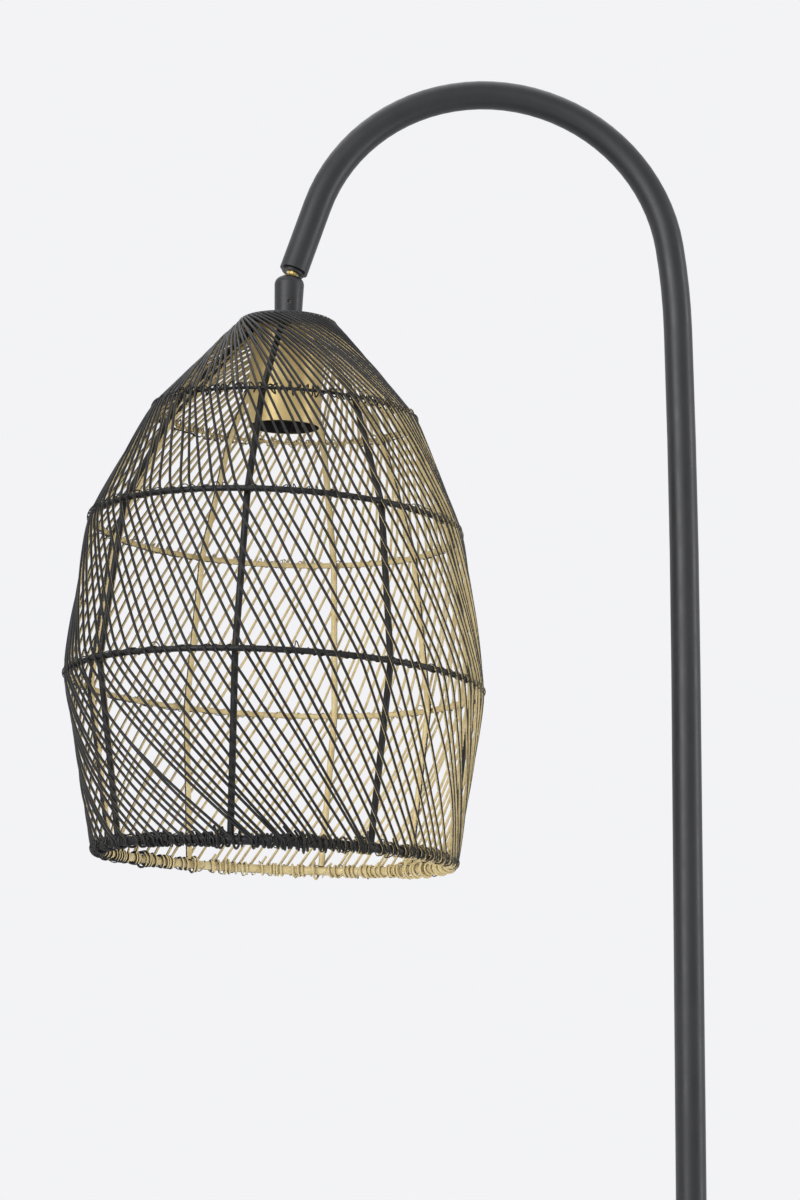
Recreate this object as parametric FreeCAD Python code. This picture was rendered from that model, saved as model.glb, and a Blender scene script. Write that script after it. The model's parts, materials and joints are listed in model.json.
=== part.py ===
import FreeCAD, Part
import math
import os

V = FreeCAD.Vector
os.makedirs("parts", exist_ok=True)

# Wire cage floor lamp, in millimetres. Origin: centre of the base's underside, +Z up.
# The arched pole stands at x = 0 and reaches over towards -X, in the plane y = 0.

# ---- driving dimensions: pole ----
overall_height = 1550.0
tube_diameter = 18.0
tube_wall = 1.2
arch_radius = 116.4            # to the tube's centreline
arch_end_deg = 162.5           # where the arch stops, counted from the +X side
pole_lean_deg = 1.5            # the pole leans this far towards the shade under its load
pole_lean_height = 217.0       # height over which the lean builds up
lead_in_deg = 7.2              # turn of the gentle bend before the arch
lead_in_radius = 448.0
arch_stub = 46.5               # straight tube after the arch
pole_joint_height = 690.0      # where lower and upper pole meet
coupler_length = 70.0
slide_gap = 0.1                # clearance of plugs and couplers in the tube

# ---- driving dimensions: base ----
base_diameter = 280.0
pad_thickness = 2.5
pad_inset = 6.0
weight_thickness = 12.0
cover_sheet = 1.2
cover_lift = 1.0               # the cover's rim stops this far above the floor
cover_edge_radius = 6.0
cover_gap = 0.3
bolt_radius = 5.0
bolt_hole_gap = 0.5
bolt_engagement = 16.0
bolt_head_radius = 9.0
bolt_head_height = 6.4
washer_radius = 14.0
washer_thickness = 2.0
counterbore_gap = 1.0
bolt_head_lift = 0.5            # bolt head above the pad
foot_insert_length = 26.0
grommet_height = 60.0
grommet_hole_radius = 4.0
grommet_bore_radius = 2.6
grommet_flange = 1.8
grommet_flange_thickness = 1.0

# ---- driving dimensions: swivel ----
plug_spigot_length = 16.0
plug_lip = 1.5
plug_lip_radius = 7.0
plug_groove = 0.5
ball_radius = 6.0
ball_drop = 6.2                # plug's lower face to the ball's centre
stem_radius = 2.5
stem_bore_radius = 1.6
stud_thread_radius = 4.0
stud_thread_length = 12.0
seat_gap = 0.05
seat_wall = 0.95
seat_edge_deg = 60.0           # the seat cup's rim, counted from the neck's axis
pressure_wall = 0.55
pressure_floor = 1.35
pressure_hole_radius = 2.8
neck_top_radius = 9.3
neck_bottom_radius = 8.5
neck_shoulder = 5.5
neck_top_rise = 3.8            # neck's top above the ball's centre
neck_opening_radius = 5.2
spring_height = 1.1
spring_sheet = 0.5
spring_gap = 0.15
nipple_radius = 5.0
nipple_bore_radius = 3.6
thread_gap = 0.05
grub_radius = 1.3
grub_drop = 14.2
grub_recess = 1.0
shade_lean_side_deg = 1.15     # the cage's foot leans towards -X
neck_lean_side_deg = 0.3       # and the neck, disc and cup lean that way less
neck_lean_back_deg = 5.5       # neck, disc and cup lean towards +Y
cage_lean_back_deg = 2.3       # and the line of the cage's rings does so a little less

# ---- driving dimensions: shade head ----
rim_drop = 25.8                # ball's centre to the top disc's middle
disc_radius = 29.2
disc_thickness = 2.0
disc_edge_radius = 0.8
lock_washer_radius = 9.0
lock_washer_thickness = 0.8
cup_radius = 22.8
cup_length = 65.0
cup_sheet = 1.0
cup_corner_radius = 3.0
nut_radius = 8.1
nut_height = 3.0
nipple_end_drop = 44.0
holder_radius = 19.0
holder_wall = 2.2
holder_lip_inset = 7.0         # holder's mouth above the cup's mouth
holder_length = 30.0
holder_cap_length = 22.0
holder_cap_top_radius = 9.0
holder_cap_collar = 6.0
holder_split_gap = 0.1
thread_shell_bore = 13.3
thread_shell_sheet = 0.4
thread_shell_length = 18.0
thread_shell_inset = 3.0
insert_thickness = 7.0
contact_width = 5.0
contact_length = 16.0
contact_sheet = 0.6
contact_rise = 3.6
contact_reach = 0.6            # share of the foot's half length that the tongue reaches
contact_room = 5.0             # thread shell's end to the contact insert
terminal_radius = 1.75
terminal_length = 5.0
terminal_spacing = 16.0

# ---- driving dimensions: cage ----
upper_ring_drop = 87.4
shoulder_ring_drop = 159.4
waist_ring_drop = 256.2
mouth_ring_drop = 360.4
rim_wire_radius = 28.2         # radii to the wires' centrelines
upper_wire_radius = 83.0
shoulder_wire_radius = 115.3
waist_wire_radius = 127.9
mouth_wire_radius = 110.0
upper_ring_shift = 1.4         # sideways places of the ring centres in the hand-made cage
shoulder_ring_shift = -0.7
waist_ring_shift = 3.2
mouth_ring_shift = 8.6
upper_ring_lean_deg = 4.85     # each ring's own lean towards +Y
shoulder_ring_lean_deg = 2.4
waist_ring_lean_deg = 1.5
mouth_ring_lean_deg = 2.1
wire_count = 100
wire_diameter = 1.7
wire_first_deg = 0.0
crown_twist_deg = 70.0         # turn of the wires from the disc to the upper ring
crown_bend_twist_deg = 47.0    # the part of it that they have made at the crown's bend
shoulder_twist_deg = 18.5
waist_twist_deg = 24.0
skirt_twist_deg = 32.0
wire_layer_step = 2.05         # every other wire starts under its neighbours at the disc
span_end_gap = 0.45            # straight spans stop this far short of each bend
rib_diameter = 4.0
rib_angles_deg = (-148.0, -100.6, -57.0, -12.0, 33.0, 68.0, 115.5, 160.0)
rib_bend_radius = 30.0
ring_diameter = 3.6
upper_ring_diameter = 2.0
mouth_ring_diameter = 5.5
ring_gap = 0.3                 # rings to the wires that cross them
weld_gap = 0.1
hook_sweep_deg = 188.0
hook_start_deg = 8.0

# ---- places that follow from the sizes ----
def heading(angle):
    """Unit vector in the XZ plane, counted from +X towards +Z."""
    return V(math.cos(angle), 0, math.sin(angle))


tube_radius = tube_diameter / 2
tube_bore = tube_radius - tube_wall
wire_radius = wire_diameter / 2
rib_radius = rib_diameter / 2
ring_radius = ring_diameter / 2
upper_ring_radius = upper_ring_diameter / 2
mouth_ring_radius = mouth_ring_diameter / 2
weight_bottom = pad_thickness
weight_top = weight_bottom + weight_thickness
cover_top = weight_top + cover_gap + cover_sheet
base_radius = base_diameter / 2
bolt_head_top = pad_thickness + bolt_head_lift + bolt_head_height
recess_face = bolt_head_top + washer_thickness
arch_centre_z = overall_height - tube_radius - arch_radius
lean = math.radians(pole_lean_deg)
arch_start_angle = math.radians(pole_lean_deg + lead_in_deg)
arch_end_angle = math.radians(arch_end_deg)
lean_radius = pole_lean_height / math.sin(lean)
lead_in_rise = lead_in_radius * (math.sin(arch_start_angle) - math.sin(lean))
arch_start_z = arch_centre_z + arch_radius * math.sin(arch_start_angle)
lean_start = V(0, 0, arch_start_z - lead_in_rise - pole_lean_height)
lean_centre = lean_start - heading(0) * lean_radius
lead_in_centre = lean_centre + heading(lean) * (lean_radius - lead_in_radius)
arch_centre = lead_in_centre + heading(arch_start_angle) * (lead_in_radius - arch_radius)
arch_end = arch_centre + heading(arch_end_angle) * arch_radius
stub_direction = V(-math.sin(arch_end_angle), 0, math.cos(arch_end_angle))
tube_end = arch_end + stub_direction * arch_stub
plug_depth = plug_groove + plug_lip
ball_centre = tube_end + stub_direction * (plug_depth + ball_drop)


# ---- helpers ----
def save(name, *solids):
    """Write one node's solids to its STEP file."""
    shape = solids[0] if len(solids) == 1 else Part.makeCompound(list(solids))
    shape.exportStep(os.path.join("parts", name + ".step"))


def turned(points):
    """Solid turned about Z from a closed outline of (radius, height) points."""
    corners = [V(r, 0, z) for r, z in points]
    outline = Part.makePolygon(corners + corners[:1])
    return Part.Face(outline).revolve(V(0, 0, 0), V(0, 0, 1), 360)


def ring_of(outer, inner, bottom, top):
    """Flat ring or tube about Z."""
    return turned([(inner, bottom), (outer, bottom), (outer, top), (inner, top)])


def hexagon(radius, bottom, height):
    """Six-sided block about Z, by the radius to its corners."""
    corners = []
    for side in range(6):
        angle = math.radians(60 * side)
        corners.append(V(radius * math.cos(angle), radius * math.sin(angle), bottom))
    return Part.Face(Part.makePolygon(corners + corners[:1])).extrude(V(0, 0, height))


def cylinder(radius, start, end):
    """Round bar between two points."""
    run = end - start
    return Part.makeCylinder(radius, run.Length, start, run)


def swept(path, radius):
    """Round bar along a smooth chain of edges."""
    first = path[0]
    start = first.valueAt(first.FirstParameter)
    tangent = first.tangentAt(first.FirstParameter)
    section = Part.Wire([Part.makeCircle(radius, start, tangent)])
    return Part.Wire(path).makePipeShell([section], True, False)


def arc_by_angle(centre, radius, start_angle, end_angle):
    """Arc in the XZ plane, from one angle to another."""
    angles = (start_angle, (start_angle + end_angle) / 2, end_angle)
    return Part.Arc(*[centre + heading(angle) * radius for angle in angles]).toShape()


def rounded_path(points, bend_radius):
    """Straight runs through the points, with a tangent arc at each bend."""
    edges = []
    last = points[0]
    for before, corner, after in zip(points, points[1:], points[2:]):
        back = (before - corner).normalize()
        ahead = (after - corner).normalize()
        half_turn = (math.pi - back.getAngle(ahead)) / 2
        trim = bend_radius * math.tan(half_turn)
        middle = (back + ahead).normalize()
        arc_mid = corner + middle * (bend_radius / math.cos(half_turn) - bend_radius)
        arc_in = corner + back * trim
        arc_out = corner + ahead * trim
        edges.append(Part.LineSegment(last, arc_in).toShape())
        edges.append(Part.Arc(arc_in, arc_mid, arc_out).toShape())
        last = arc_out
    edges.append(Part.LineSegment(last, points[-1]).toShape())
    return edges


def along_stub(shape):
    """Move a shape drawn about Z, with its top face at the tube's end, onto the stub's axis."""
    turn = FreeCAD.Rotation(V(0, 0, -1), stub_direction)
    shape.Placement = FreeCAD.Placement(tube_end, turn).multiply(shape.Placement)
    return shape


def leaned(side_deg, back_deg):
    """Rotation of a part of the shade, by its lean to the side and to the back."""
    side = FreeCAD.Rotation(V(0, 1, 0), side_deg)
    return side.multiply(FreeCAD.Rotation(V(1, 0, 0), back_deg))


def neck_lean():
    return leaned(neck_lean_side_deg, neck_lean_back_deg)


def hung(shape):
    """Move a shape drawn about the ball's centre to its place on the leaning neck."""
    place = FreeCAD.Placement(ball_centre, neck_lean())
    shape.Placement = place.multiply(shape.Placement)
    return shape


# ---- base ----
def base_pad():
    return Part.makeCylinder(base_radius - pad_inset, pad_thickness)


def base_weight():
    radius = base_radius - cover_edge_radius
    disc = ring_of(radius, bolt_radius + bolt_hole_gap, weight_bottom, weight_top)
    depth = recess_face - weight_bottom
    recess = Part.makeCylinder(washer_radius + counterbore_gap, depth, V(0, 0, weight_bottom))
    return disc.cut(recess)


def base_cover():
    outer = Part.makeCylinder(base_radius, cover_top - cover_lift, V(0, 0, cover_lift))
    rim = [edge for edge in outer.Edges if edge.BoundBox.ZMin > cover_top - 0.01]
    outer = outer.makeFillet(cover_edge_radius, rim)
    inner_radius = base_radius - cover_sheet
    inner = Part.makeCylinder(inner_radius, cover_top - cover_sheet, V(0, 0, 0))
    inner_rim = [edge for edge in inner.Edges if edge.BoundBox.ZMin > cover_top - cover_sheet - 0.01]
    inner = inner.makeFillet(cover_edge_radius - cover_sheet, inner_rim)
    hole = Part.makeCylinder(bolt_radius + bolt_hole_gap, cover_top, V(0, 0, 0))
    return outer.cut(inner).cut(hole)


def bolt_washer():
    return ring_of(washer_radius, bolt_radius + bolt_hole_gap, bolt_head_top, recess_face)


def pole_bolt():
    head = hexagon(bolt_head_radius, bolt_head_top - bolt_head_height, bolt_head_height)
    length = cover_top + bolt_engagement - bolt_head_top
    return head.fuse(Part.makeCylinder(bolt_radius, length, V(0, 0, bolt_head_top)))


# ---- pole ----
def foot_insert():
    return ring_of(tube_bore - slide_gap, bolt_radius + thread_gap, cover_top, cover_top + foot_insert_length)


def lower_pole():
    tube = ring_of(tube_radius, tube_bore, cover_top, pole_joint_height)
    hole = cylinder(grommet_hole_radius, V(0, 0, grommet_height), V(tube_diameter, 0, grommet_height))
    return tube.cut(hole)


def cord_grommet():
    seat = tube_radius + weld_gap
    sleeve = grommet_hole_radius - weld_gap
    flange = grommet_hole_radius + grommet_flange
    inner_face = tube_bore - grommet_flange_thickness
    outer_face = seat + grommet_flange_thickness
    outline = [(grommet_bore_radius, inner_face), (sleeve, inner_face), (sleeve, seat), (flange, seat),
               (flange, outer_face), (grommet_bore_radius, outer_face)]
    grommet = turned(outline)
    grommet.Placement = FreeCAD.Placement(V(0, 0, grommet_height), FreeCAD.Rotation(V(0, 0, 1), V(1, 0, 0)))
    return grommet


def pole_coupler():
    low = pole_joint_height - coupler_length / 2
    return ring_of(tube_bore - slide_gap, tube_bore - slide_gap - 2 * tube_wall, low, low + coupler_length)


def pole_path():
    """Centreline of the upper pole, from the joint up, over the arch and down to its end."""
    return [Part.LineSegment(V(0, 0, pole_joint_height), lean_start).toShape(),
            arc_by_angle(lean_centre, lean_radius, 0, lean),
            arc_by_angle(lead_in_centre, lead_in_radius, lean, arch_start_angle),
            arc_by_angle(arch_centre, arch_radius, arch_start_angle, arch_end_angle),
            Part.LineSegment(arch_end, tube_end).toShape()]


def upper_pole():
    path = pole_path()
    return swept(path, tube_radius).cut(swept(path, tube_bore))


# ---- swivel, fixed side: drawn about Z with the tube's end at z = 0 ----
def end_plug():
    outer = tube_bore - slide_gap
    outline = [(stud_thread_radius + thread_gap, plug_spigot_length), (outer, plug_spigot_length),
               (outer, 0), (plug_lip_radius - plug_groove, 0), (plug_lip_radius - plug_groove, -plug_groove),
               (plug_lip_radius, -plug_groove), (plug_lip_radius, -plug_depth),
               (stud_thread_radius + thread_gap, -plug_depth)]
    return along_stub(turned(outline))


def ball_stud():
    ball_z = -plug_depth - ball_drop
    ball = Part.makeSphere(ball_radius, V(0, 0, ball_z))
    stem = Part.makeCylinder(stem_radius, ball_drop, V(0, 0, ball_z))
    thread = Part.makeCylinder(stud_thread_radius, stud_thread_length, V(0, 0, -plug_depth))
    bore = Part.makeCylinder(stem_bore_radius, stud_thread_length + ball_drop + ball_radius,
                             V(0, 0, ball_z - ball_radius))
    return along_stub(ball.fuse(stem).fuse(thread).removeSplitter().cut(bore))


# ---- swivel, hanging side: drawn about the ball's centre ----
seat_inner = ball_radius + seat_gap
seat_outer = seat_inner + seat_wall
pressure_inner = seat_outer + seat_gap
pressure_outer = pressure_inner + pressure_wall
pressure_bottom = -pressure_inner - pressure_floor
neck_bore = pressure_outer + seat_gap
spring_bottom = pressure_bottom - spring_gap - 2 * (spring_height + spring_gap)
neck_bottom = -rim_drop + disc_thickness / 2


def seat_cup():
    edge = math.radians(seat_edge_deg)
    shell = Part.makeSphere(seat_outer).cut(Part.makeSphere(seat_inner))
    below = Part.makeCylinder(seat_outer, seat_outer, V(0, 0, -seat_outer - seat_inner * math.cos(edge)))
    hole = Part.makeCylinder(pressure_hole_radius, seat_outer * 2, V(0, 0, -seat_outer * 2))
    return hung(shell.common(below).cut(hole))


def pressure_cup():
    height = pressure_floor + pressure_inner * (1 - math.cos(math.radians(seat_edge_deg)))
    body = Part.makeCylinder(pressure_outer, height, V(0, 0, pressure_bottom))
    hole = Part.makeCylinder(pressure_hole_radius, height, V(0, 0, pressure_bottom))
    return hung(body.cut(Part.makeSphere(pressure_inner)).cut(hole))


def spring_washers():
    washers = []
    inner = pressure_hole_radius + spring_gap
    outer = neck_bore - spring_gap
    for index in range(2):
        top = pressure_bottom - spring_gap - index * (spring_height + spring_gap)
        drop = spring_height - spring_sheet
        if index == 0:
            outline = [(inner, top), (inner, top - spring_sheet),
                       (outer, top - drop - spring_sheet), (outer, top - drop)]
        else:
            outline = [(inner, top - drop), (inner, top - drop - spring_sheet),
                       (outer, top - spring_sheet), (outer, top)]
        washers.append(hung(turned(outline)))
    return washers


def neck():
    corner_top = V(neck_top_radius - neck_shoulder, 0, neck_top_rise)
    corner_low = V(neck_top_radius, 0, neck_top_rise - neck_shoulder)
    slant = math.sqrt(0.5) * neck_shoulder
    corner_mid = V(corner_top.x + slant, 0, corner_low.z + slant)
    foot = V(neck_bottom_radius, 0, neck_bottom)
    edges = [Part.LineSegment(V(0, 0, neck_top_rise), corner_top).toShape(),
             Part.Arc(corner_top, corner_mid, corner_low).toShape(),
             Part.LineSegment(corner_low, foot).toShape(),
             Part.LineSegment(foot, V(0, 0, neck_bottom)).toShape(),
             Part.LineSegment(V(0, 0, neck_bottom), V(0, 0, neck_top_rise)).toShape()]
    body = Part.Face(Part.Wire(edges)).revolve(V(0, 0, 0), V(0, 0, 1), 360)
    opening = Part.makeCylinder(neck_opening_radius, neck_top_rise + 1, V(0, 0, 0))
    bore = Part.makeCylinder(neck_bore, -spring_bottom, V(0, 0, spring_bottom))
    thread = Part.makeCylinder(nipple_radius + thread_gap, spring_bottom - neck_bottom, V(0, 0, neck_bottom))
    grub_hole = cylinder(grub_radius + thread_gap, V(0, 0, -grub_drop), V(0, -neck_top_radius, -grub_drop))
    for hollow in (Part.makeSphere(seat_inner), opening, bore, thread, grub_hole):
        body = body.cut(hollow)
    return hung(body)


def neck_radius_at(drop):
    """Outer radius of the neck's tapered side."""
    top = neck_shoulder - neck_top_rise
    share = (drop - top) / (-neck_bottom - top)
    return neck_top_radius + share * (neck_bottom_radius - neck_top_radius)


def grub_screw():
    outer = neck_radius_at(grub_drop) - grub_recess
    screw = cylinder(grub_radius, V(0, -nipple_radius - thread_gap, -grub_drop), V(0, -outer, -grub_drop))
    socket = cylinder(grub_radius / 2, V(0, -outer + grub_radius, -grub_drop), V(0, -outer, -grub_drop))
    return hung(screw.cut(socket))


def nipple():
    return hung(ring_of(nipple_radius, nipple_bore_radius, -nipple_end_drop, spring_bottom))


# ---- shade head ----
disc_top = neck_bottom
disc_bottom = disc_top - disc_thickness
washer_bottom = disc_bottom - lock_washer_thickness
cup_top = washer_bottom
cup_bottom = cup_top - cup_length
nut_top = cup_top - cup_sheet
nut_bottom = nut_top - nut_height
holder_bottom = cup_bottom + holder_lip_inset
holder_joint = holder_bottom + holder_length
cap_top = holder_joint + holder_cap_length


def top_disc():
    disc = ring_of(disc_radius, nipple_radius + thread_gap, disc_bottom, disc_top)
    outer_edges = [edge for edge in disc.Edges if edge.BoundBox.XMax > disc_radius - 0.01]
    rim = [edge for edge in outer_edges if edge.BoundBox.ZLength < 0.01]
    return hung(disc.makeFillet(disc_edge_radius, rim))


def lock_washer():
    return hung(ring_of(lock_washer_radius, nipple_radius + thread_gap, washer_bottom, disc_bottom))


def socket_cup():
    outer = Part.makeCylinder(cup_radius, cup_length, V(0, 0, cup_bottom))
    top_rim = [edge for edge in outer.Edges if edge.BoundBox.ZMin > cup_top - 0.01]
    outer = outer.makeFillet(cup_corner_radius, top_rim)
    inner = Part.makeCylinder(cup_radius - cup_sheet, cup_length - cup_sheet, V(0, 0, cup_bottom))
    inner_rim = [edge for edge in inner.Edges if edge.BoundBox.ZMin > nut_top - 0.01]
    inner = inner.makeFillet(cup_corner_radius - cup_sheet, inner_rim)
    hole = Part.makeCylinder(nipple_radius + thread_gap, cup_sheet * 4, V(0, 0, cup_top - cup_sheet * 2))
    return hung(outer.cut(inner).cut(hole))


def cup_nut():
    nut = hexagon(nut_radius, nut_bottom, nut_height)
    return hung(nut.cut(Part.makeCylinder(nipple_radius + thread_gap, nut_height, V(0, 0, nut_bottom))))


def holder_cap():
    shoulder = cap_top - holder_cap_collar
    outer_corner = holder_joint + holder_cap_collar
    bore = nipple_radius + thread_gap
    outline = [(bore, cap_top), (holder_cap_top_radius, cap_top), (holder_cap_top_radius, shoulder),
               (holder_radius, outer_corner), (holder_radius, holder_joint + holder_split_gap),
               (holder_radius - holder_wall, holder_joint + holder_split_gap),
               (holder_radius - holder_wall, outer_corner - holder_wall / 2),
               (holder_cap_top_radius, shoulder - holder_wall), (bore, shoulder - holder_wall)]
    return hung(turned(outline))


def holder_body():
    return hung(ring_of(holder_radius, holder_radius - holder_wall, holder_bottom, holder_joint))


shell_bottom = holder_bottom + thread_shell_inset
shell_top = shell_bottom + thread_shell_length
insert_bottom = shell_top + contact_room
insert_top = insert_bottom + insert_thickness


def thread_shell():
    return hung(ring_of(thread_shell_bore + thread_shell_sheet, thread_shell_bore, shell_bottom, shell_top))


def holder_liner():
    """Moulded sleeve that carries the thread shell inside the holder's body."""
    inner = thread_shell_bore + thread_shell_sheet + thread_gap
    return hung(ring_of(holder_radius - holder_wall - thread_gap, inner, shell_bottom, insert_bottom))


def contact_insert():
    radius = holder_radius - holder_wall - thread_gap
    disc = Part.makeCylinder(radius, insert_thickness, V(0, 0, insert_bottom))
    for side in (-1, 1):
        disc = disc.cut(Part.makeCylinder(terminal_radius + thread_gap, terminal_length,
                                          V(side * terminal_spacing / 2, 0, insert_top - terminal_length)))
    return hung(disc)


def centre_contact():
    half = contact_length / 2
    foot = Part.makeBox(half, contact_width, contact_sheet,
                        V(-half, -contact_width / 2, insert_bottom - contact_sheet))
    low = insert_bottom - contact_sheet
    tip = low - contact_rise
    reach = half * contact_reach
    profile = [V(0, 0, low), V(0, 0, low + contact_sheet), V(reach, 0, tip + contact_sheet), V(reach, 0, tip)]
    tongue = Part.Face(Part.makePolygon(profile + profile[:1])).extrude(V(0, contact_width, 0))
    tongue.translate(V(0, -contact_width / 2, 0))
    return hung(foot.fuse(tongue))


def terminal_screws():
    return [hung(Part.makeCylinder(terminal_radius, terminal_length,
                                   V(side * terminal_spacing / 2, 0, insert_top - terminal_length)))
            for side in (-1, 1)]


# ---- cage ----
class Level:
    """One height of the cage: its tilted plane, the wires' radius there and their turn so far."""

    def __init__(self, centre, side_deg, back_deg, radius, turn_deg, shift=0.0):
        self.centre = centre
        self.shift = shift
        self.side_deg = side_deg
        self.back_deg = back_deg
        self.place = FreeCAD.Placement(centre, leaned(side_deg, back_deg))
        self.radius = radius
        self.turn_deg = turn_deg

    def point(self, radius, angle_deg, rise=0.0):
        """Point by radius and angle in the level's plane, and height above it."""
        angle = math.radians(angle_deg)
        return self.place.multVec(V(radius * math.cos(angle), radius * math.sin(angle), rise))

    def beside(self, angle_deg, radius, rise=0.0):
        """Point on a circle of the level in the upright plane that a rib keeps, whatever the shift."""
        off = math.degrees(math.asin(self.shift * math.sin(math.radians(angle_deg)) / radius))
        return self.point(radius, angle_deg + off, rise)


def halfway(upper, lower, turn_deg):
    """Level in the middle of a tier, where its wires have a slight bend."""
    return Level((upper.centre + lower.centre) / 2, (upper.side_deg + lower.side_deg) / 2,
                 (upper.back_deg + lower.back_deg) / 2, (upper.radius + lower.radius) / 2, turn_deg)


def ring_place(shift, drop):
    """Centre of a ring, by its sideways place and its drop below the ball's centre."""
    return ball_centre + leaned(shade_lean_side_deg, cage_lean_back_deg).multVec(V(shift, 0, -drop))


def ring_level(shift, drop, back_deg, radius, turn_deg):
    return Level(ring_place(shift, drop), shade_lean_side_deg, back_deg, radius, turn_deg, shift)


wire_start_drop = rim_drop + disc_thickness / 2 + wire_radius + weld_gap
rim_centre = ball_centre + neck_lean().multVec(V(0, 0, -wire_start_drop))
upper_turn = crown_twist_deg
shoulder_turn = upper_turn + shoulder_twist_deg
waist_turn = shoulder_turn + waist_twist_deg
mouth_turn = waist_turn + skirt_twist_deg
rim_level = Level(rim_centre, neck_lean_side_deg, neck_lean_back_deg, rim_wire_radius, 0.0)
upper_level = ring_level(upper_ring_shift, upper_ring_drop, upper_ring_lean_deg,
                         upper_wire_radius, upper_turn)
shoulder_level = ring_level(shoulder_ring_shift, shoulder_ring_drop, shoulder_ring_lean_deg,
                            shoulder_wire_radius, shoulder_turn)
waist_level = ring_level(waist_ring_shift, waist_ring_drop, waist_ring_lean_deg,
                         waist_wire_radius, waist_turn)
mouth_level = ring_level(mouth_ring_shift, mouth_ring_drop, mouth_ring_lean_deg,
                         mouth_wire_radius, mouth_turn)
crown_level = halfway(rim_level, upper_level, crown_bend_twist_deg)
skirt_level = halfway(waist_level, mouth_level, waist_turn + skirt_twist_deg / 2)


def wall_cosine(upper, level, lower):
    """Cosine of the steepest slope that the straight wires have where they meet a level."""
    twist_in = math.radians(level.turn_deg - upper.turn_deg)
    twist_out = math.radians(lower.turn_deg - level.turn_deg)
    slope_in = (level.radius - upper.radius * math.cos(twist_in)) / (upper.centre.z - level.centre.z)
    slope_out = (lower.radius * math.cos(twist_out) - level.radius) / (level.centre.z - lower.centre.z)
    return math.cos(math.atan(max(abs(slope_in), abs(slope_out))))


upper_cosine = wall_cosine(crown_level, upper_level, shoulder_level)
shoulder_cosine = wall_cosine(upper_level, shoulder_level, waist_level)
waist_cosine = wall_cosine(shoulder_level, waist_level, skirt_level)
ring_step = wire_radius + ring_radius + ring_gap
rib_step = ring_radius + rib_radius + weld_gap
upper_ring_step = wire_radius + upper_ring_radius + ring_gap
upper_rib_step = upper_ring_radius + rib_radius + weld_gap
upper_ring_centre = upper_wire_radius - upper_ring_step / upper_cosine
shoulder_ring_centre = shoulder_wire_radius - ring_step / shoulder_cosine
waist_ring_centre = waist_wire_radius - ring_step / waist_cosine
mouth_ring_centre = mouth_wire_radius - wire_radius - mouth_ring_radius - weld_gap
crown_tilt = math.atan((upper_wire_radius - rim_wire_radius) / (upper_ring_drop - wire_start_drop))
layer_radius = rim_wire_radius - wire_layer_step * math.cos(crown_tilt)
layer_drop = wire_layer_step * math.sin(crown_tilt)


def level_ring(level, centre_radius, rod_radius):
    ring = Part.makeTorus(centre_radius, rod_radius)
    ring.Placement = level.place
    return ring


def rib_top(angle_deg):
    """Point where a rib's end meets the side of the socket cup, under the wires."""
    seen = rim_level.place.inverse().multVec(upper_level.point(upper_wire_radius, angle_deg))
    tilt = math.atan2(math.hypot(seen.x, seen.y) - rim_wire_radius, -seen.z)
    half_twist = math.radians(crown_level.turn_deg - rim_level.turn_deg) / 2
    sag = (crown_level.radius + rim_level.radius) / 2 * (1 - math.cos(half_twist))
    depth = wire_layer_step + wire_radius + rib_radius + weld_gap + sag / 2
    radius = cup_radius + 2 * weld_gap + rib_radius * math.cos(tilt)
    line_radius = rim_wire_radius - depth * math.cos(tilt)
    drop = depth * math.sin(tilt) + (radius - line_radius) / math.tan(tilt)
    return rim_level.point(radius, angle_deg, -drop)


def rib(angle_deg):
    points = [rib_top(angle_deg),
              upper_level.beside(angle_deg, upper_ring_centre - upper_rib_step / upper_cosine),
              shoulder_level.beside(angle_deg, shoulder_ring_centre - rib_step / shoulder_cosine),
              waist_level.beside(angle_deg, waist_ring_centre - rib_step / waist_cosine),
              mouth_level.beside(angle_deg, mouth_ring_centre, mouth_ring_radius + weld_gap)]
    return swept(rounded_path(points, rib_bend_radius), rib_radius)


def wire_end(level, index):
    """Bend point of one wire at a level."""
    angle = wire_first_deg + index * 360 / wire_count + level.turn_deg
    if level is rim_level and index % 2:
        return level.point(layer_radius, angle, -layer_drop)
    return level.point(level.radius, angle)


def wire_spans(upper, lower):
    """Straight spans of all wires between two levels."""
    spans = []
    for index in range(wire_count):
        start = wire_end(upper, index)
        end = wire_end(lower, index)
        trim = (end - start).normalize() * span_end_gap
        spans.append(cylinder(wire_radius, start + trim, end - trim))
    return spans


def wire_hooks():
    """The wires' lower ends, hooked round the mouth ring from outside, under it and up inside."""
    hooks = []
    pivot = V(mouth_ring_centre, 0, 0)
    for index in range(wire_count):
        section = Part.Face(Part.Wire([Part.makeCircle(wire_radius, V(mouth_wire_radius, 0, 0), V(0, 0, 1))]))
        section.rotate(pivot, V(0, 1, 0), hook_start_deg)
        hook = section.revolve(pivot, V(0, 1, 0), hook_sweep_deg)
        turn = FreeCAD.Rotation(V(0, 0, 1), wire_first_deg + index * 360 / wire_count + mouth_turn)
        hook.Placement = mouth_level.place.multiply(FreeCAD.Placement(V(), turn)).multiply(hook.Placement)
        hooks.append(hook)
    return hooks


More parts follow.
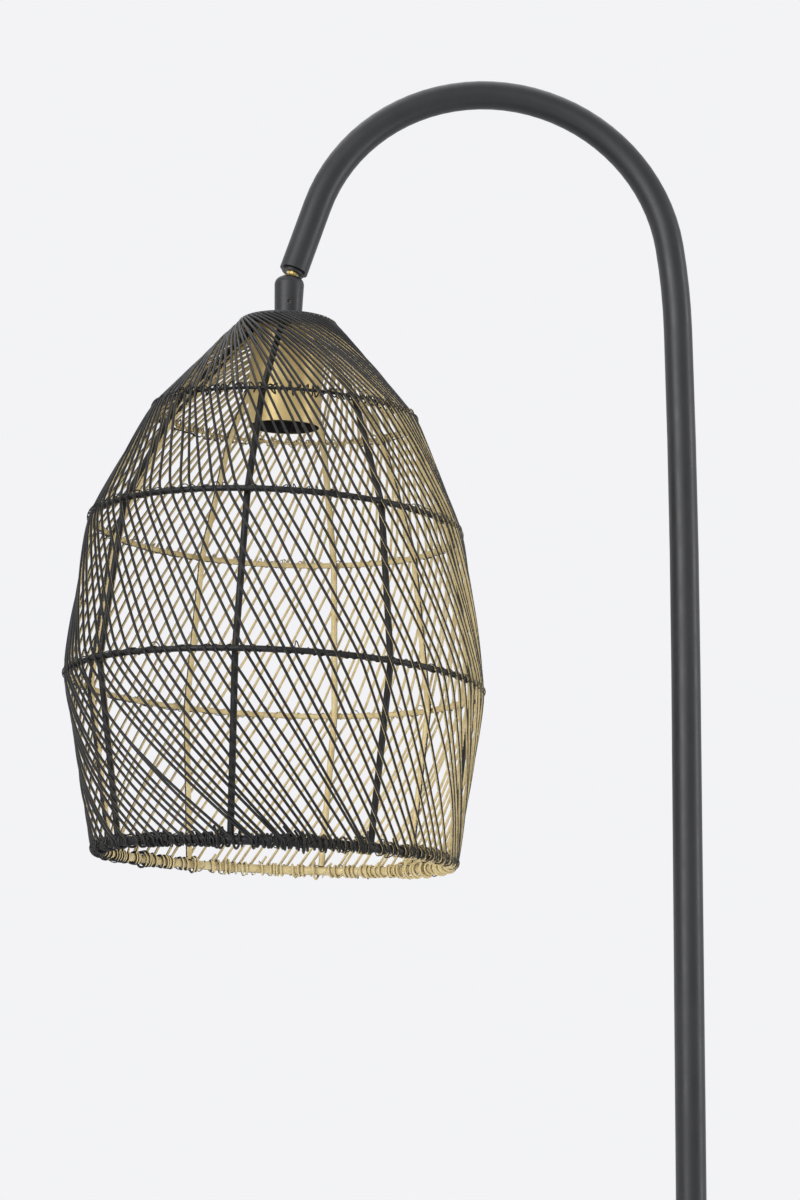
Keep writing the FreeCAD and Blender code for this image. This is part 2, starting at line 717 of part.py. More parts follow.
# ---- write every node ----
save("base_pad", base_pad())
save("base_weight", base_weight())
save("base_cover", base_cover())
save("bolt_washer", bolt_washer())
save("pole_bolt", pole_bolt())
save("foot_insert", foot_insert())
save("lower_pole", lower_pole())
save("cord_grommet", cord_grommet())
save("pole_coupler", pole_coupler())
save("upper_pole", upper_pole())
save("end_plug", end_plug())
save("ball_stud", ball_stud())
save("seat_cup", seat_cup())
save("pressure_cup", pressure_cup())
save("spring_washers", *spring_washers())
save("neck", neck())
save("grub_screw", grub_screw())
save("nipple", nipple())
save("top_disc", top_disc())
save("lock_washer", lock_washer())
save("socket_cup", socket_cup())
save("cup_nut", cup_nut())
save("holder_cap", holder_cap())
save("holder_body", holder_body())
save("holder_liner", holder_liner())
save("thread_shell", thread_shell())
save("contact_insert", contact_insert())
save("centre_contact", centre_contact())
save("terminal_screws", *terminal_screws())
save("ribs", *[rib(angle_deg) for angle_deg in rib_angles_deg])
save("upper_ring", level_ring(upper_level, upper_ring_centre, upper_ring_radius))
save("shoulder_ring", level_ring(shoulder_level, shoulder_ring_centre, ring_radius))
save("waist_ring", level_ring(waist_level, waist_ring_centre, ring_radius))
save("mouth_ring", level_ring(mouth_level, mouth_ring_centre, mouth_ring_radius))
save("crown_wires_upper", *wire_spans(rim_level, crown_level))
save("crown_wires_lower", *wire_spans(crown_level, upper_level))
save("shoulder_wires", *wire_spans(upper_level, shoulder_level))
save("waist_wires", *wire_spans(shoulder_level, waist_level))
save("skirt_wires_upper", *wire_spans(waist_level, skirt_level))
save("skirt_wires_lower", *wire_spans(skirt_level, mouth_level))
save("wire_hooks", *wire_hooks())

print("ball centre", ball_centre)
print("tube end", tube_end)
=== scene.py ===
import json
import math

import bpy
import numpy as np
from mathutils import Matrix, Vector


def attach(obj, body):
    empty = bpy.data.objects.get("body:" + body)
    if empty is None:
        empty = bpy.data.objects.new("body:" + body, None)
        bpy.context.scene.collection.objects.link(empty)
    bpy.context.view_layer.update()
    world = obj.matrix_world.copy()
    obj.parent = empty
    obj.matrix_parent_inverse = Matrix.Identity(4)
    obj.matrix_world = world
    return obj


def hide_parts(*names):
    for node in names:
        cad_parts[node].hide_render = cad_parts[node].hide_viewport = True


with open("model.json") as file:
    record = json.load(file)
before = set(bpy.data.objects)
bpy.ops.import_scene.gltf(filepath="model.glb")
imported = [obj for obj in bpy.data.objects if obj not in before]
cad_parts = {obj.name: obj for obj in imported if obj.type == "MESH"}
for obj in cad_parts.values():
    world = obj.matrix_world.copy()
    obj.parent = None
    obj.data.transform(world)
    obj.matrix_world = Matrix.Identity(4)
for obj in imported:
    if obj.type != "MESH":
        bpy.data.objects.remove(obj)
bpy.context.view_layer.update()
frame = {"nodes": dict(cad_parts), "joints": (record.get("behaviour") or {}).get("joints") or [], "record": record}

# ---- sizes, in metres ----
MM = 0.001
WIRE_COUNT = 100
WIRE_RADIUS = 0.85 * MM
RING_RADIUS = 1.8 * MM
UPPER_RING_RADIUS = 1.0 * MM
MOUTH_RING_RADIUS = 2.75 * MM
RING_GAP = 0.3 * MM
WELD_GAP = 0.1 * MM
WRAP_RADIUS = 0.75 * MM          # the wires' turns round the mouth ring are a little thinner
BIND_RADIUS = 0.34 * MM
UPPER_BIND_RADIUS = 0.5 * MM
BIND_SPREAD = 0.36               # how unevenly its turns lie, in steps from turn to turn
RIM_WIRE_RADIUS = 29.9 * MM      # the wires are welded round the top disc's edge
RIM_WIRE_RISE = 0.5 * MM
LAYER_STEP = 1.85 * MM           # every other wire starts one layer lower under the disc
UPPER_SLANT = 1.35               # the wires bend over each ring, which sets them this much further out
SHOULDER_SLANT = 1.06
WAIST_SLANT = 1.02
CROWN_TWIST = 70.0               # degrees that the wires turn in each tier
SHOULDER_TWIST = 18.5
WAIST_TWIST = 24.0
SKIRT_TWIST = 28.0
SKIRT_EXTRA_TWIST = 25.0         # added on the front left, where the wires were pulled round further
LOOSE_SHARE = 0.07               # share of the skirt's wires that stand out further
LOOSE_REACH = (2.0, 6.0)         # how far they do, in millimetres
SEED = 20

# ---- the wires' ends round the mouth ring; pairs are the least and the most, in millimetres ----
WRAP_TURNS = (0.62, 1.05, 1.1, 1.6, 2.05, 2.1)
WRAP_TURN_SPREAD = (-0.04, 0.06)    # in turns
WRAP_SLACK = (0.0, 0.3)
OPEN_WRAP_SHARE = 0.16              # share of the ends that stand off the ring as open loops
OPEN_WRAP_SLACK = (0.6, 2.2)
WRAP_PITCH = (2.2, 4.2)
STUB_LENGTH = (0.8, 5.5)
STUB_LEAN = (0.2, 1.3)              # sideways, as a share of the stub's length
STUB_RUN_ON = 0.6
WRAP_STEPS = 40
THICK_STEPS = 4                     # points of the wrap that keep the wire's full radius

rng = np.random.default_rng(SEED)


# ---- geometry helpers ----
def unit(v):
    return v / np.linalg.norm(v, axis=-1, keepdims=True)


def node_points(name):
    """The distinct vertices of a CAD node."""
    mesh = frame["nodes"][name].data
    co = np.zeros(len(mesh.vertices) * 3)
    mesh.vertices.foreach_get("co", co)
    return np.unique(co.reshape(-1, 3).round(6), axis=0)


class Level:
    """A height of the cage: middle and plane, and the radii to the wires and to the ring's own bar."""

    def __init__(self, middle, up, radius=0.0):
        self.middle = middle
        self.up = up
        self.x = unit(np.array([up[2], 0.0, -up[0]]))
        self.y = np.cross(up, self.x)
        self.radius = radius
        self.bar = radius

    def point(self, radius, degrees, rise=0.0):
        turn = np.radians(degrees)[..., None]
        radius = np.asarray(radius)[..., None]
        rise = np.asarray(rise)[..., None]
        across = self.x * np.cos(turn) + self.y * np.sin(turn)
        return self.middle + across * radius + self.up * rise


def ring_level(name, wire_offset):
    """Level measured on a round ring's own mesh."""
    points = node_points(name)
    rough = points.mean(0)
    up = np.linalg.svd(points - rough, full_matrices=False)[2][2]
    up = up if up[2] > 0 else -up
    level = Level(rough, up)
    flat = np.stack([(points - rough) @ level.x, (points - rough) @ level.y], 1)
    system = np.column_stack([2 * flat, np.ones(len(flat))])
    cx, cy, power = np.linalg.lstsq(system, (flat ** 2).sum(1), rcond=None)[0]
    level.middle = rough + level.x * cx + level.y * cy
    level.bar = np.hypot(flat[:, 0] - cx, flat[:, 1] - cy).mean()
    level.radius = level.bar + wire_offset
    return level


def bar_frames(paths):
    """Two side vectors along paths of shape (bars, points, 3), without twist."""
    tangent = unit(np.gradient(paths, axis=1))
    guess = np.where(np.abs(tangent[:, :1, 2:]) > 0.9, [[[1.0, 0.0, 0.0]]], [[[0.0, 0.0, 1.0]]])
    side = unit(np.cross(tangent[:, 0], guess[:, 0]))
    sides = [side]
    for k in range(1, paths.shape[1]):
        here = tangent[:, k]
        side = unit(side - here * (side * here).sum(-1, keepdims=True))
        sides.append(side)
    sides = np.stack(sides, 1)
    return sides, np.cross(tangent, sides)


class Bars:
    """Collects round bars and makes one mesh of them."""

    DOME_RISE = 0.45        # the rounded ends, as shares of the bar's radius
    DOME_RADIUS = 0.62

    def __init__(self):
        self.points = []
        self.quads = []
        self.ends = []
        self.count = 0

    def add(self, paths, radius, sides):
        """Bars along paths (bars, points, 3); radius is one number or one per point."""
        paths = np.asarray(paths, float)
        if paths.ndim == 2:
            paths = paths[None]
        radius = np.broadcast_to(np.asarray(radius, float), paths.shape[:2]).copy()
        ends = radius[:, [0, -1], None]
        first = paths[:, :1] - unit(paths[:, 1:2] - paths[:, :1]) * ends[:, :1] * self.DOME_RISE
        last = paths[:, -1:] + unit(paths[:, -1:] - paths[:, -2:-1]) * ends[:, 1:] * self.DOME_RISE
        paths = np.concatenate([first, paths, last], 1)
        radius = np.concatenate([ends[:, 0] * self.DOME_RADIUS, radius, ends[:, 1] * self.DOME_RADIUS], 1)
        a, b = bar_frames(paths)
        turn = np.arange(sides) * 2 * math.pi / sides
        ring = a[:, :, None] * np.cos(turn)[:, None] + b[:, :, None] * np.sin(turn)[:, None]
        ring = paths[:, :, None] + ring * radius[:, :, None, None]
        bars, steps = paths.shape[:2]
        index = np.arange(bars * steps * sides).reshape(bars, steps, sides) + self.count
        after = np.roll(index, -1, axis=2)
        quads = np.stack([index[:, :-1], after[:, :-1], after[:, 1:], index[:, 1:]], -1)
        self.points.append(ring.reshape(-1, 3))
        self.quads.append(quads.reshape(-1, 4))
        self.ends += index[:, 0, ::-1].tolist() + index[:, -1].tolist()
        self.count += bars * steps * sides

    def piece(self, name, material, body, stands_for=()):
        mesh = bpy.data.meshes.new(name)
        faces = np.concatenate(self.quads).tolist() + self.ends
        mesh.from_pydata(np.concatenate(self.points).tolist(), [], faces)
        mesh.shade_smooth()
        mesh.materials.append(material)
        obj = bpy.data.objects.new(name, mesh)
        bpy.context.scene.collection.objects.link(obj)
        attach(obj, body)
        if stands_for:
            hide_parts(*stands_for)


# ---- the shade's levels, read from the frame ----
def joint(name):
    return next(j for j in frame["joints"] if j["name"] == name)


ball = np.array(joint("shade_turn")["pos_m"])
neck_up = unit(np.array(joint("shade_turn")["axis"], float))
disc_low = ((node_points("top_disc") - ball) @ neck_up).min()
rim = Level(ball + neck_up * (disc_low + RIM_WIRE_RISE), neck_up, RIM_WIRE_RADIUS)
upper = ring_level("upper_ring", (UPPER_RING_RADIUS + RING_GAP + WIRE_RADIUS) * UPPER_SLANT)
shoulder = ring_level("shoulder_ring", (RING_RADIUS + RING_GAP + WIRE_RADIUS) * SHOULDER_SLANT)
waist = ring_level("waist_ring", (RING_RADIUS + RING_GAP + WIRE_RADIUS) * WAIST_SLANT)
mouth = ring_level("mouth_ring", MOUTH_RING_RADIUS + WIRE_RADIUS + WELD_GAP)
cage_foot = mouth.middle
cage_axis = unit(rim.middle - mouth.middle)


# ---- materials ----
class Nodes:
    """Small helper to lay out a material's nodes."""

    def __init__(self, name):
        self.material = bpy.data.materials.new(name)
        self.material.use_nodes = True
        self.tree = self.material.node_tree
        self.shader = self.tree.nodes["Principled BSDF"]

    def node(self, kind, **values):
        made = self.tree.nodes.new(kind)
        for key, value in values.items():
            setattr(made, key, value)
        return made

    def link(self, output, target):
        self.tree.links.new(output, target)

    def put(self, socket, value):
        if isinstance(value, bpy.types.NodeSocket):
            self.link(value, socket)
        else:
            socket.default_value = value

    def place(self):
        return self.node("ShaderNodeTexCoord").outputs["Object"]

    def noise(self, scale, detail=3.0, rough=0.55, where=None, stretch=None):
        made = self.node("ShaderNodeTexNoise")
        where = where or self.place()
        if stretch:
            mapping = self.node("ShaderNodeMapping")
            mapping.inputs["Scale"].default_value = stretch
            self.link(where, mapping.inputs["Vector"])
            where = mapping.outputs[0]
        self.link(where, made.inputs["Vector"])
        made.inputs["Scale"].default_value = scale
        made.inputs["Detail"].default_value = detail
        made.inputs["Roughness"].default_value = rough
        return made.outputs["Fac"]

    def ramp(self, value, *stops):
        made = self.node("ShaderNodeValToRGB")
        self.link(value, made.inputs[0])
        elements = made.color_ramp.elements
        while len(elements) < len(stops):
            elements.new(0.5)
        for element, (position, colour) in zip(elements, stops):
            element.position = position
            element.color = (*colour, 1.0)
        return made.outputs[0]

    def range(self, value, low, high, to_low=0.0, to_high=1.0):
        made = self.node("ShaderNodeMapRange")
        self.link(value, made.inputs["Value"])
        made.inputs["From Min"].default_value = low
        made.inputs["From Max"].default_value = high
        made.inputs["To Min"].default_value = to_low
        made.inputs["To Max"].default_value = to_high
        return made.outputs[0]

    def mix(self, share, a, b):
        made = self.node("ShaderNodeMix", data_type="RGBA")
        self.put(made.inputs[0], share)
        self.put(made.inputs[6], a)
        self.put(made.inputs[7], b)
        return made.outputs[2]

    def math(self, operation, a, b=None):
        made = self.node("ShaderNodeMath", operation=operation)
        self.put(made.inputs[0], a)
        if b is not None:
            self.put(made.inputs[1], b)
        return made.outputs[0]

    def vector(self, operation, a, b=None, scale=None):
        made = self.node("ShaderNodeVectorMath", operation=operation)
        self.put(made.inputs[0], a)
        if b is not None:
            self.put(made.inputs[1], b)
        if scale is not None:
            self.put(made.inputs["Scale"], scale)
        return made.outputs["Value" if operation == "DOT_PRODUCT" else "Vector"]

    def bump(self, height, strength, distance):
        made = self.node("ShaderNodeBump")
        made.inputs["Strength"].default_value = strength
        made.inputs["Distance"].default_value = distance
        self.link(height, made.inputs["Height"])
        self.link(made.outputs[0], self.shader.inputs["Normal"])

    def set(self, **values):
        for key, value in values.items():
            self.put(self.shader.inputs[key.replace("_", " ")], value)
        return self.material


def inward_share(nodes, start, end, lit_side_gold):
    """0 on faces that look away from the shade's axis, 1 on faces that look at it.

    The last argument moves the gold further round the wires on the +X side: painted light, standing in for the
    inner faces there catching the light from the left.
    """
    where = nodes.vector("SUBTRACT", nodes.place(), tuple(cage_foot))
    along = nodes.vector("DOT_PRODUCT", where, tuple(cage_axis))
    on_axis = nodes.vector("SCALE", tuple(cage_axis), scale=along)
    outward = nodes.vector("NORMALIZE", nodes.vector("SUBTRACT", where, on_axis))
    normal = nodes.node("ShaderNodeTexCoord").outputs["Normal"]
    facing = nodes.vector("DOT_PRODUCT", outward, normal)
    # painted light: the gold reaches further round on the +X side, where the inner faces catch the light
    towards_x = nodes.vector("DOT_PRODUCT", outward, (1.0, 0.0, 0.0))
    facing = nodes.math("SUBTRACT", facing, nodes.math("MULTIPLY", towards_x, lit_side_gold))
    ragged = nodes.range(nodes.noise(900.0, 2.0), 0.25, 0.75, -0.2, 0.2)
    return nodes.range(nodes.math("ADD", facing, ragged), start, end)


def two_tone(name, start, end, lit_side_gold):
    """Black paint outside, sprayed gold on the faces that look inwards."""
    nodes = Nodes(name)
    share = inward_share(nodes, start, end, lit_side_gold)
    black = nodes.ramp(nodes.noise(260.0, 4.0), (0.3, (0.003, 0.003, 0.0035)),
                       (0.7, (0.008, 0.008, 0.009)))
    gold = nodes.ramp(nodes.noise(140.0, 5.0, 0.65), (0.28, (0.56, 0.43, 0.20)),
                      (0.5, (0.70, 0.57, 0.30)), (0.74, (0.80, 0.69, 0.42)))
    specks = nodes.ramp(nodes.noise(2600.0, 2.0), (0.44, (0.75, 0.74, 0.72)), (0.6, (1.0, 1.0, 1.0)))
    tone = nodes.node("ShaderNodeMix", data_type="RGBA", blend_type="MULTIPLY")
    tone.inputs[0].default_value = 0.55
    nodes.link(gold, tone.inputs[6])
    nodes.link(specks, tone.inputs[7])
    nodes.bump(nodes.noise(3200.0, 2.0), 0.25, 0.0002)
    rough = nodes.range(nodes.noise(500.0, 3.0), 0.3, 0.7, 0.38, 0.56)
    metal = nodes.math("MULTIPLY", share, 0.15)
    colour = nodes.mix(share, black, tone.outputs[2])
    return nodes.set(Base_Color=colour, Roughness=rough, Metallic=metal, Specular_IOR_Level=0.32)


def powder_coat():
    """Satin charcoal powder coat with its fine orange-peel grain and a few rubbed places."""
    nodes = Nodes("black_powder_coat")
    tone = nodes.ramp(nodes.noise(38.0, 5.0, 0.6), (0.3, (0.009, 0.0095, 0.0115)),
                      (0.7, (0.014, 0.0145, 0.0175)))
    dust = nodes.range(nodes.noise(900.0, 2.0, 0.4), 0.7, 0.78, 0.0, 0.25)
    colour = nodes.mix(dust, tone, (0.05, 0.05, 0.055, 1.0))
    rough = nodes.range(nodes.noise(60.0, 4.0), 0.3, 0.7, 0.36, 0.47)
    nodes.bump(nodes.noise(1400.0, 2.0, 0.5), 0.22, 0.0002)
    return nodes.set(Base_Color=colour, Roughness=rough, Specular_IOR_Level=0.4)


def gold_paint():
    """Sprayed satin gold on the socket cup's outside; the faces that look inwards, into its mouth, are near-black.
    """
    nodes = Nodes("gold_paint")
    tone = nodes.ramp(nodes.noise(45.0, 5.0, 0.6), (0.25, (0.46, 0.345, 0.14)),
                      (0.55, (0.60, 0.475, 0.225)), (0.8, (0.70, 0.58, 0.31)))
    grain = nodes.range(nodes.noise(2400.0, 2.0), 0.35, 0.65, 0.0, 0.3)
    gold = nodes.mix(grain, tone, (0.42, 0.315, 0.13, 1.0))
    where = nodes.vector("SUBTRACT", nodes.place(), tuple(ball))
    along = nodes.vector("DOT_PRODUCT", where, tuple(neck_up))
    on_axis = nodes.vector("SCALE", tuple(neck_up), scale=along)
    outward = nodes.vector("NORMALIZE", nodes.vector("SUBTRACT", where, on_axis))
    normal = nodes.node("ShaderNodeTexCoord").outputs["Normal"]
    # near-black on the faces that look towards the neck's axis, inside the cup's mouth
    inside = nodes.range(nodes.vector("DOT_PRODUCT", outward, normal), -0.2, -0.4)
    colour = nodes.mix(inside, gold, (0.008, 0.008, 0.009, 1.0))
    rough = nodes.range(nodes.noise(300.0, 3.0), 0.3, 0.7, 0.34, 0.46)
    nodes.bump(nodes.noise(2200.0, 2.0), 0.25, 0.0002)
    metal = nodes.range(inside, 0.0, 1.0, 0.45, 0.0)
    return nodes.set(Base_Color=colour, Roughness=rough, Metallic=metal)


def plain_metal(name, dark, light, rough_low, rough_high, scale=400.0, metal=1.0,
                stretch=(1.0, 1.0, 1.0)):
    """Worked metal with fine marks."""
    nodes = Nodes(name)
    marks = nodes.noise(scale, 4.0, 0.6, stretch=stretch)
    tone = nodes.ramp(marks, (0.3, dark), (0.7, light))
    rough = nodes.range(nodes.noise(scale * 0.4, 3.0), 0.3, 0.7, rough_low, rough_high)
    nodes.bump(nodes.noise(scale * 4, 2.0, stretch=stretch), 0.12, 0.0001)
    return nodes.set(Base_Color=tone, Roughness=rough, Metallic=metal)


def moulded(name, dark, light, rough_low, rough_high):
    """Moulded or cast surface without metal gloss."""
    return plain_metal(name, dark, light, rough_low, rough_high, scale=300.0, metal=0.0)


materials = {
    "black_powder_coat": powder_coat(),
    "cage_two_tone": two_tone("cage_two_tone", -0.18, -0.38, 0.15),
    "gold_paint": gold_paint(),
    "brass": plain_metal("brass", (0.72, 0.60, 0.30), (0.88, 0.77, 0.46), 0.28, 0.4,
                         stretch=(1.0, 1.0, 6.0)),
    "zinc_steel": plain_metal("zinc_steel", (0.46, 0.46, 0.45), (0.62, 0.62, 0.60), 0.28, 0.42),
    "cast_iron": moulded("cast_iron", (0.05, 0.05, 0.05), (0.09, 0.088, 0.085), 0.6, 0.8),
    "black_rubber": moulded("black_rubber", (0.02, 0.02, 0.02), (0.03, 0.03, 0.03), 0.65, 0.85),
    "nylon": moulded("nylon", (0.66, 0.64, 0.58), (0.74, 0.72, 0.66), 0.35, 0.5),
    "black_bakelite": moulded("black_bakelite", (0.016, 0.015, 0.015), (0.028, 0.026, 0.025), 0.25, 0.4),
}
# the last argument is painted light: how much further the gold reaches round on the +X side
wire_paint = two_tone("cage_wire_paint", 0.02, -0.14, 0.55)
binding_paint = two_tone("binding_paint", -0.30, -0.60, 0.30)
# dark steel for the set screw: partly the screw's own dark steel, partly painted shade of the recess it sits in
screw_steel = plain_metal("screw_steel", (0.05, 0.045, 0.035), (0.10, 0.09, 0.07), 0.35, 0.5, metal=0.6)


def dress_frame():
    """Give every CAD node the material of its slot; the set screw's steel is darker than the rest, partly its own
    dark steel and partly painted shade of its recess.
    """
    for part in frame["record"]["subparts"]:
        mesh = frame["nodes"][part["node"]].data
        mesh.materials.clear()
        mesh.materials.append(materials[part["material_slot"]])
    frame["nodes"]["grub_screw"].data.materials[0] = screw_steel


# ---- cage wires ----
def cone_turn(top, low, twist, share):
    """Turn of a taut wire at each share of its way down a cone, where its whole turn is twist."""
    height = np.linalg.norm(top.middle - low.middle)
    slant = math.hypot(low.radius - top.radius, height)
    squeeze = abs(low.radius - top.radius) / slant
    near = min(top.radius, low.radius) / squeeze
    far = near + slant
    opened = math.radians(twist) * squeeze
    start = np.array([near, 0.0])
    end = np.array([far * math.cos(opened), far * math.sin(opened)])
    steps = start + (end - start) * np.linspace(0.0, 1.0, 400)[:, None]
    reach = np.hypot(steps[:, 0], steps[:, 1])
    turn = np.degrees(np.arctan2(steps[:, 1], steps[:, 0])) / squeeze
    if low.radius >= top.radius:
        return np.interp(near + slant * share, reach, turn)
    return twist - np.interp(near + slant * (1 - share), reach, turn)


def tier(top, low, twist, first, drift_top, drift_low, steps):
    """Points of all wires between two levels, and their shares of the way down.

    The drifts are each wire's own offsets in degrees at both levels.
    """
    share = np.linspace(0.0, 1.0, steps + 1)
    turn = np.stack([cone_turn(top, low, each, share) for each in np.broadcast_to(twist, WIRE_COUNT)])
    degrees = first[:, None] + turn + drift_top[:, None] * (1 - share) + drift_low[:, None] * share
    radius = np.broadcast_to(top.radius + (low.radius - top.radius) * share, degrees.shape)
    from_top = (1 - share)[:, None] * top.point(radius, degrees)
    from_low = share[:, None] * low.point(radius, degrees)
    return from_top + from_low, share


def smooth_wander(size, waves):
    """Slow random drift round the ring, in degrees."""
    index = np.arange(WIRE_COUNT) * 2 * math.pi / WIRE_COUNT
    total = np.zeros(WIRE_COUNT)
    for wave in waves:
        total += np.sin(index * wave + rng.uniform(0, 2 * math.pi)) * rng.uniform(0.5, 1.0)
    return total * size / len(waves)


def skirt_twist(degrees):
    """Turn of each wire from the waist to the mouth, by its angle at the waist."""
    angle = np.mod(degrees, 360.0)
    share = np.interp(angle, [0, 75, 140, 170, 188, 206, 226, 246, 270, 300, 360],
                      [0, 0.14, 0.62, 0.94, 1.0, 0.90, 0.66, 0.38, 0.12, 0, 0])
    return SKIRT_TWIST + SKIRT_EXTRA_TWIST * share


def cage_wires():
    """The hundred wires from the disc over the rings to their hooks round the mouth ring."""
    first = np.arange(WIRE_COUNT) * 360.0 / WIRE_COUNT
    drift = [rng.normal(0, 0.3, WIRE_COUNT),
             rng.normal(0, 0.62, WIRE_COUNT) + smooth_wander(0.9, (5, 9, 14)),
             rng.normal(0, 0.52, WIRE_COUNT) + smooth_wander(0.8, (6, 11, 17)),
             rng.normal(0, 0.55, WIRE_COUNT) + smooth_wander(0.9, (5, 8, 13)),
             rng.normal(0, 0.9, WIRE_COUNT) + smooth_wander(1.1, (7, 12, 17))]
    levels = [rim, upper, shoulder, waist, mouth]
    twists = [CROWN_TWIST, SHOULDER_TWIST, WAIST_TWIST]
    steps = [22, 12, 15, 18]
    slack = [0.35, 0.4, 0.5, 0.7]
    parts = []
    for k, (top, low) in enumerate(zip(levels, levels[1:])):
        twist = skirt_twist(first + drift[k]) if low is mouth else twists[k]
        run, share = tier(top, low, twist, first, drift[k], drift[k + 1], steps[k])
        bow = np.sin(math.pi * share)[None, :, None]
        out = unit(run - (top.middle + (low.middle - top.middle) * share[:, None]))
        size = rng.normal(0.0, slack[k] * MM, WIRE_COUNT)
        if low is mouth:
            size += (rng.random(WIRE_COUNT) < LOOSE_SHARE) * rng.uniform(*LOOSE_REACH, WIRE_COUNT) * MM
        run = run + out * bow * size[:, None, None]
        parts.append(run if k == 0 else run[:, 1:])
        first = first + twist
    paths = np.concatenate(parts, 1)
    lower_layer = (np.arange(WIRE_COUNT) % 2)[:, None, None]
    fade = np.clip(1 - np.linspace(0, 2, steps[0] + 1), 0, 1)[None, :, None]
    wall = unit(paths[:, steps[0]] - paths[:, 0])
    inner = unit(np.cross(np.cross(wall, rim.up), wall))
    paths[:, :steps[0] + 1] -= inner[:, None] * lower_layer * fade * LAYER_STEP
    for _ in range(2):
        paths[:, 1:-1] = paths[:, 1:-1] * 0.5 + (paths[:, :-2] + paths[:, 2:]) * 0.25
    return paths, first + drift[4]


def hook_paths(end_degrees):
    """Each wire's end, wound half a turn to two turns round the mouth ring and cut off beside it."""
    bend = MOUTH_RING_RADIUS + WRAP_RADIUS + WELD_GAP
    sweep = np.linspace(0.0, 1.0, WRAP_STEPS)
    paths = []
    for degrees in end_degrees:
        turns = rng.choice(WRAP_TURNS) + rng.uniform(*WRAP_TURN_SPREAD)
        loose = rng.uniform(*WRAP_SLACK) * MM
        loose += (rng.random() < OPEN_WRAP_SHARE) * rng.uniform(*OPEN_WRAP_SLACK) * MM
        angle = sweep * turns * 2 * math.pi
        size = bend + loose * np.sin(sweep * math.pi)
        advance = np.degrees(sweep * turns * rng.uniform(*WRAP_PITCH) * MM / mouth.bar)
        out = np.cos(angle) * size
        rise = -np.sin(angle) * size
        path = mouth.point(mouth.bar + out, degrees + advance, rise)
        stub = rng.uniform(*STUB_LENGTH) * MM
        lean = -stub * rng.uniform(*STUB_LEAN)
        tip = path[-1] + mouth.up * stub + unit(path[-1] - path[-6]) * STUB_RUN_ON * MM
        tip = tip + unit(np.cross(mouth.up, path[-1] - mouth.middle)) * lean
        middle = path[-1] * 0.55 + tip * 0.45
        paths.append(np.concatenate([path, middle[None], tip[None]]))
    return np.array(paths)


def make_wires():
    paths, end_degrees = cage_wires()
    hooks = hook_paths(end_degrees)
    bars = Bars()
    radius = np.full(paths.shape[1] - 1 + hooks.shape[1], WIRE_RADIUS)
    radius[paths.shape[1] + THICK_STEPS:] = WRAP_RADIUS
    bars.add(np.concatenate([paths[:, :-1], hooks], 1), radius, sides=8)
    bars.piece("cage_wires", wire_paint, "shade",
               ("crown_wires_upper", "crown_wires_lower", "shoulder_wires", "waist_wires",
                "skirt_wires_upper", "skirt_wires_lower", "wire_hooks"))


# ---- binding wire round the rings ----
def binding(level, name, bar_radius, wire, turns, above, below, loop_share, loop_size):
    """Thin wire wound round a ring, over each wire that crosses it, with loose humps and loops.

    above and below are how far a usual turn stands off the bar, and loop_size how much further the
    loops rise: the least and the most, in millimetres. loop_share of the turns are loops.
    """
    per_turn = 16
    count = turns * per_turn
    t = np.arange(count + 1) / per_turn
    turn = np.minimum(t.astype(int), turns - 1)
    top = rng.uniform(*above, turns)
    top += (rng.random(turns) < loop_share) * rng.uniform(*loop_size, turns)
    low = rng.uniform(*below, turns)
    side = rng.normal(0.0, BIND_SPREAD, turns)
    seat = bar_radius + wire * 0.6
    cycle = 2 * math.pi * t
    upward = np.maximum(np.sin(cycle), 0.0)
    downward = np.maximum(-np.sin(cycle), 0.0)
    rise = upward * (seat + top[turn] * MM) - downward * (seat + low[turn] * MM)
    outer = bar_radius + RING_GAP + 2 * WIRE_RADIUS + wire * 0.3
    out = np.where(np.cos(cycle) > 0, np.cos(cycle) * outer, np.cos(cycle) * (bar_radius + wire * 0.1))
    step = 360.0 / turns
    degrees = (t + side[turn] * (upward + downward)) * step
    bars = Bars()
    bars.add(level.point(level.bar + out, degrees, rise), wire, sides=6)
    bars.piece(name, binding_paint, "shade")


def make_bindings():
    binding(upper, "upper_binding", UPPER_RING_RADIUS, UPPER_BIND_RADIUS, turns=112,
            above=(0.5, 1.9), below=(1.0, 2.6), loop_share=0.3, loop_size=(0.6, 1.8))
    binding(shoulder, "shoulder_binding", RING_RADIUS, BIND_RADIUS, turns=108,
            above=(0.0, 0.8), below=(-0.2, 0.0), loop_share=0.35, loop_size=(0.5, 1.5))
    binding(waist, "waist_binding", RING_RADIUS, BIND_RADIUS, turns=104,
            above=(-0.1, 0.3), below=(-0.1, 0.5), loop_share=0.10, loop_size=(1.2, 4.0))
    binding(mouth, "mouth_binding", MOUTH_RING_RADIUS, BIND_RADIUS, turns=90,
            above=(0.0, 0.8), below=(0.2, 2.0), loop_share=0.15, loop_size=(0.6, 2.0))


# ---- stage, lights and camera ----
def make_floor():
    mesh = bpy.data.meshes.new("floor")
    half = 3.0
    corners = [(-half, -half, 0), (half, -half, 0), (half, half, 0), (-half, half, 0)]
    mesh.from_pydata(corners, [], [(0, 1, 2, 3)])
    nodes = Nodes("floor")
    mesh.materials.append(nodes.set(Base_Color=(0.86, 0.86, 0.87, 1.0), Roughness=0.7))
    obj = bpy.data.objects.new("floor", mesh)
    bpy.context.scene.collection.objects.link(obj)


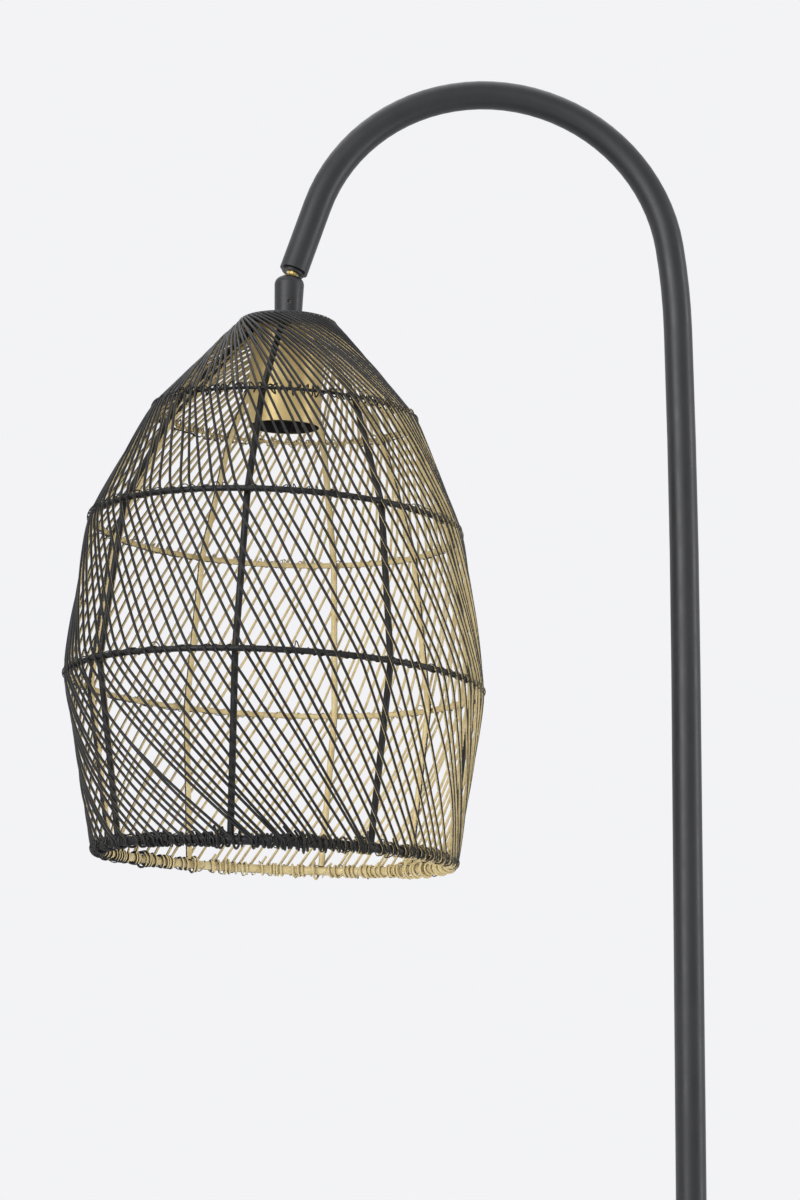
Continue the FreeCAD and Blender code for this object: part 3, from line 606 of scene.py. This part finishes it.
def make_world():
    """Soft studio surroundings for the light, and a near-white background for camera, gloss and glass."""
    world = bpy.data.worlds.new("studio")
    bpy.context.scene.world = world
    world.use_nodes = True
    tree = world.node_tree
    light = tree.nodes["Background"]
    light.inputs["Color"].default_value = (0.97, 0.98, 1.0, 1.0)
    light.inputs["Strength"].default_value = 0.62
    seen = tree.nodes.new("ShaderNodeBackground")
    seen.inputs["Color"].default_value = (0.896, 0.896, 0.922, 1.0)
    seen.inputs["Strength"].default_value = 1.0
    ray = tree.nodes.new("ShaderNodeLightPath")
    share = ray.outputs["Is Camera Ray"]
    for kind in ("Is Glossy Ray", "Is Transmission Ray"):
        either = tree.nodes.new("ShaderNodeMath")
        either.operation = "MAXIMUM"
        tree.links.new(share, either.inputs[0])
        tree.links.new(ray.outputs[kind], either.inputs[1])
        share = either.outputs[0]
    mix = tree.nodes.new("ShaderNodeMixShader")
    tree.links.new(share, mix.inputs[0])
    tree.links.new(light.outputs[0], mix.inputs[1])
    tree.links.new(seen.outputs[0], mix.inputs[2])
    tree.links.new(mix.outputs[0], tree.nodes["World Output"].inputs["Surface"])


def area_light(name, place, target, size, power):
    data = bpy.data.lights.new(name, "AREA")
    data.shape = "RECTANGLE"
    data.size, data.size_y = size
    data.energy = power
    obj = bpy.data.objects.new(name, data)
    bpy.context.scene.collection.objects.link(obj)
    obj.location = place
    obj.rotation_euler = (Vector(target) - Vector(place)).to_track_quat("-Z", "Y").to_euler()


def make_lights():
    target = (-0.2, 0.0, 1.2)
    area_light("window_left", (-2.1, -2.1, 1.9), target, (1.5, 2.2), 60)
    area_light("front", (-0.9, -3.0, 1.9), target, (0.6, 1.8), 10)
    area_light("window_right", (2.1, -0.55, 1.4), target, (0.45, 2.4), 24)
    area_light("top", (-0.2, 0.4, 3.2), target, (2.4, 2.4), 18)


def make_camera():
    """Camera at the photograph's viewing angle: place, heading and lens from a fit to the lamp's outline."""
    place = Vector((-0.2851, -1.4393, 0.8775))
    pitch, yaw, roll = (math.radians(a) for a in (12.78, 4.29, 0.956))
    ahead = Vector((math.sin(yaw) * math.cos(pitch), math.cos(yaw) * math.cos(pitch), math.sin(pitch)))
    right = Vector((math.cos(yaw), -math.sin(yaw), 0.0))
    above = right.cross(ahead)
    rolled = right * math.cos(roll) + above * math.sin(roll)
    upright = above * math.cos(roll) - right * math.sin(roll)
    data = bpy.data.cameras.new("camera")
    data.sensor_width = 36.0
    data.lens = 72.36
    obj = bpy.data.objects.new("camera", data)
    bpy.context.scene.collection.objects.link(obj)
    obj.matrix_world = Matrix.Translation(place) @ Matrix((rolled, upright, -ahead)).transposed().to_4x4()
    bpy.context.scene.camera = obj


make_camera()
make_world()
make_lights()
make_floor()
dress_frame()
make_wires()
make_bindings()

bpy.context.scene.view_settings.view_transform = "Standard"
